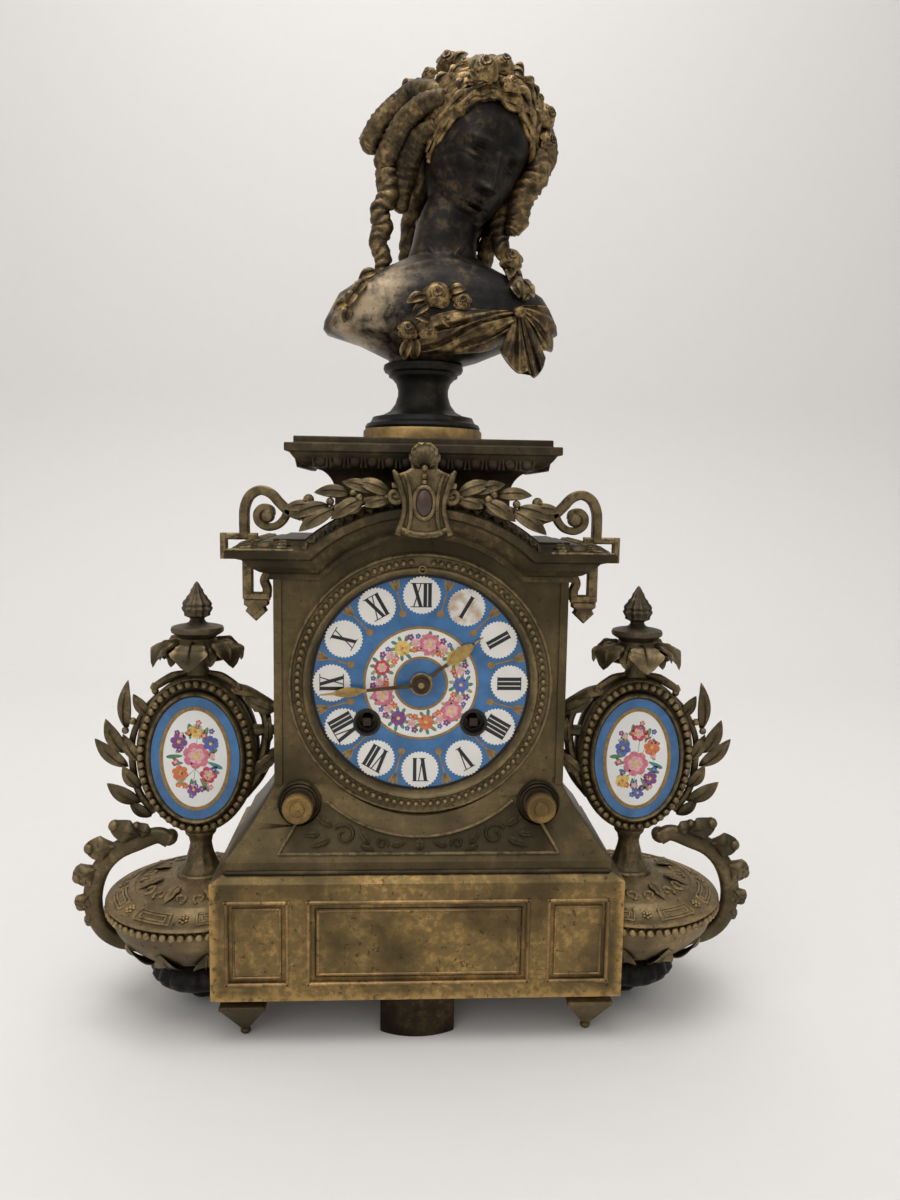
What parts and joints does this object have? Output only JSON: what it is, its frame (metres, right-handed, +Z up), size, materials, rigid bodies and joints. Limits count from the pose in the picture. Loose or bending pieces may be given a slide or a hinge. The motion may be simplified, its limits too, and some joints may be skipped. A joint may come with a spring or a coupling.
{
  "type": "figural mantel clock",
  "caption": "Gilt figural mantel clock with an arched case, porcelain dial, side urns with painted plaques and a bust on top; hands, pendulum, hammer and rear door move.",
  "frame": {"origin": "on the surface it stands on, midway across the width and depth", "axes": "+Z up, the dial faces -Y, +X to the viewer's right"},
  "size_m": [0.276, 0.084, 0.3729],
  "materials": {
    "gilt": "aged satin",
    "patina": "dark patina",
    "porcelain": "glazed",
    "brass": "satin",
    "steel": "satin"
  },
  "bodies": {
    "case": {"base_plinth": "gilt", "corner_feet": "gilt", "centre_foot": "gilt", "case_shell": "gilt", "cornice": "gilt", "bust_plinth": "gilt", "cartouche": "gilt", "laurels": "gilt", "scroll_brackets": "gilt", "corner_bosses": "patina", "bust_socle": "patina", "bust_torso": "patina", "bust_head": "patina", "bust_rod": "steel", "urn_foot_left": "patina", "urn_foot_right": "patina", "urn_bowl_left": "gilt", "urn_bowl_right": "gilt", "urn_stems": "gilt", "medallion_left": "gilt", "medallion_right": "gilt", "plaque_left": "porcelain", "plaque_right": "porcelain", "finial_canopies": "gilt", "finials": "gilt", "urn_arm_left": "gilt", "urn_arm_right": "gilt", "side_straps": "gilt", "dial_bezel": "gilt", "dial": "porcelain", "dial_pan": "brass", "winding_eyelets": "brass", "front_plate": "brass", "back_plate": "brass", "plate_pillars": "brass", "suspension_cock": "brass", "bell": "brass", "bell_stand": "brass", "movement_straps": "steel", "rear_bezel": "brass"},
    "minute": {"centre_wheel": "brass", "cannon_pinion": "brass", "minute_hand": "brass", "hand_nut": "brass"},
    "hour": {"hour_wheel": "brass", "hour_hand": "brass"},
    "minute_wheel": {"minute_wheel": "brass"},
    "second_wheel": {"second_wheel": "brass"},
    "going_barrel": {"going_barrel": "brass"},
    "strike_barrel": {"strike_barrel": "brass"},
    "going_arbor": {"going_arbor": "steel"},
    "strike_arbor": {"strike_arbor": "steel"},
    "third_wheel": {"third_wheel": "brass"},
    "escape_wheel": {"escape_wheel": "brass"},
    "pendulum": {"anchor": "steel", "pendulum": "brass"},
    "regulator": {"regulator_arbor": "steel"},
    "hammer": {"hammer": "steel"},
    "rear_door": {"rear_door": "brass"}
  },
  "joints": [
    {"name": "minute_turn", "type": "hinge", "parent": "case", "child": "minute", "pos_m": [0, 0, 0.1368], "axis": [0, 1, 0], "continuous": true},
    {"name": "hour_turn", "type": "hinge", "parent": "case", "child": "hour", "pos_m": [0, 0, 0.1368], "axis": [0, 1, 0], "continuous": true},
    {"name": "minute_wheel_turn", "type": "hinge", "parent": "case", "child": "minute_wheel", "pos_m": [0.0048, 0, 0.12849], "axis": [0, 1, 0], "continuous": true},
    {"name": "second_wheel_turn", "type": "hinge", "parent": "case", "child": "second_wheel", "pos_m": [0.01391, 0, 0.13839], "axis": [0, 1, 0], "continuous": true},
    {"name": "going_barrel_turn", "type": "hinge", "parent": "case", "child": "going_barrel", "pos_m": [0.0204, 0, 0.1216], "axis": [0, 1, 0], "continuous": true},
    {"name": "third_wheel_turn", "type": "hinge", "parent": "case", "child": "third_wheel", "pos_m": [-0.00532, 0, 0.14822], "axis": [0, 1, 0], "continuous": true},
    {"name": "escape_wheel_turn", "type": "hinge", "parent": "case", "child": "escape_wheel", "pos_m": [0, 0, 0.15944], "axis": [0, 1, 0], "continuous": true},
    {"name": "strike_barrel_turn", "type": "hinge", "parent": "case", "child": "strike_barrel", "pos_m": [-0.0204, 0, 0.1216], "axis": [0, 1, 0], "continuous": true},
    {"name": "going_wind", "type": "hinge", "parent": "case", "child": "going_arbor", "pos_m": [0.0204, 0, 0.1216], "axis": [0, 1, 0], "range_deg": [0, 1440]},
    {"name": "strike_wind", "type": "hinge", "parent": "case", "child": "strike_arbor", "pos_m": [-0.0204, 0, 0.1216], "axis": [0, 1, 0], "range_deg": [0, 1440]},
    {"name": "pendulum_swing", "type": "hinge", "parent": "case", "child": "pendulum", "pos_m": [0, 0, 0.17094], "axis": [0, 1, 0], "range_deg": [-5, 5]},
    {"name": "regulator_turn", "type": "hinge", "parent": "case", "child": "regulator", "pos_m": [0, 0, 0.1805], "axis": [0, 1, 0], "range_deg": [-360, 360]},
    {"name": "hammer_lift", "type": "hinge", "parent": "case", "child": "hammer", "pos_m": [-0.024, 0, 0.1568], "axis": [0, 1, 0], "range_deg": [0, 12], "stiffness_Nm_per_rad": 0.02, "springref_deg": -5.73},
    {"name": "rear_door_swing", "type": "hinge", "parent": "case", "child": "rear_door", "pos_m": [-0.0475, 0.033, 0.1368], "axis": [0, 0, 1], "range_deg": [0, 110]}
  ],
  "couplings": [
    {"joint": "hour_turn", "follows": "minute_turn", "ratio": 0.083333},
    {"joint": "minute_wheel_turn", "follows": "minute_turn", "ratio": -0.33333},
    {"joint": "second_wheel_turn", "follows": "minute_turn", "ratio": -0.16667},
    {"joint": "going_barrel_turn", "follows": "minute_turn", "ratio": 0.026882},
    {"joint": "third_wheel_turn", "follows": "minute_turn", "ratio": -8}
  ]
}
